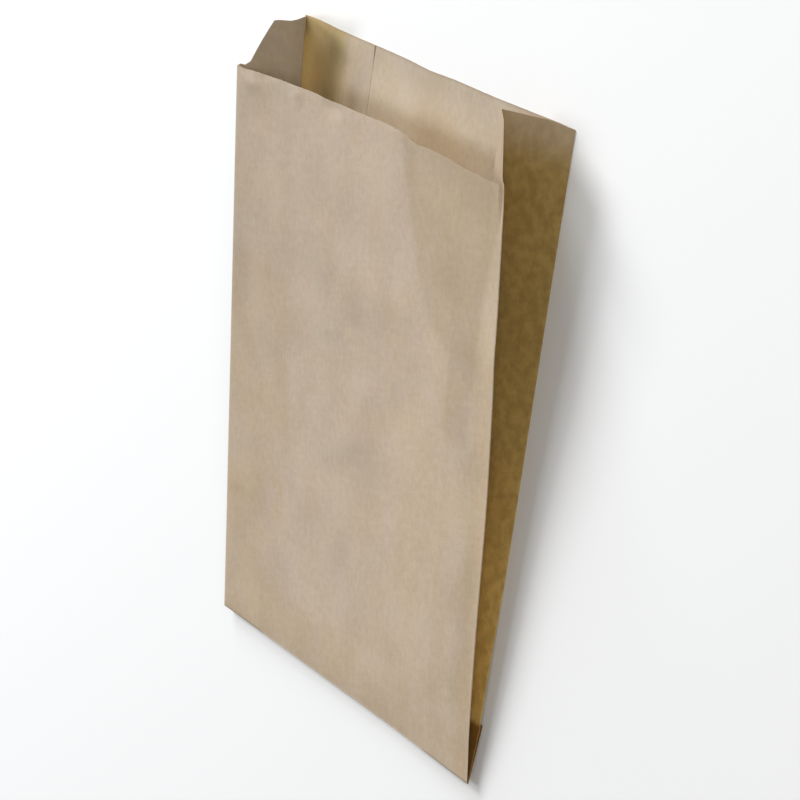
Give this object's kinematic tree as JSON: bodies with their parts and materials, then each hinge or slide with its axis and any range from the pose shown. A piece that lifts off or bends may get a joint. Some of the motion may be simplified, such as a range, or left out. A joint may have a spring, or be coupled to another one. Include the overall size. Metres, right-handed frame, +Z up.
{
  "type": "paper bakery bag",
  "caption": "Flat gusseted kraft paper bag for baked goods, empty, mouth open, bottom folded over and glued, lying on its back panel.",
  "frame": {"origin": "middle of the underside of the bounding box, on the surface that the bag lies on", "axes": "+Z up, out of the front panel; +Y along the bag from the folded bottom to the open mouth; +X across the bag, to the right when the front is seen with the mouth up"},
  "size_m": [0.18, 0.2554, 0.0293],
  "materials": {
    "kraft_paper": "matt uncoated kraft paper, fibrous, softly mottled"
  },
  "bodies": {
    "root": {"paper_bag": "kraft_paper"}
  },
  "joints": []
}
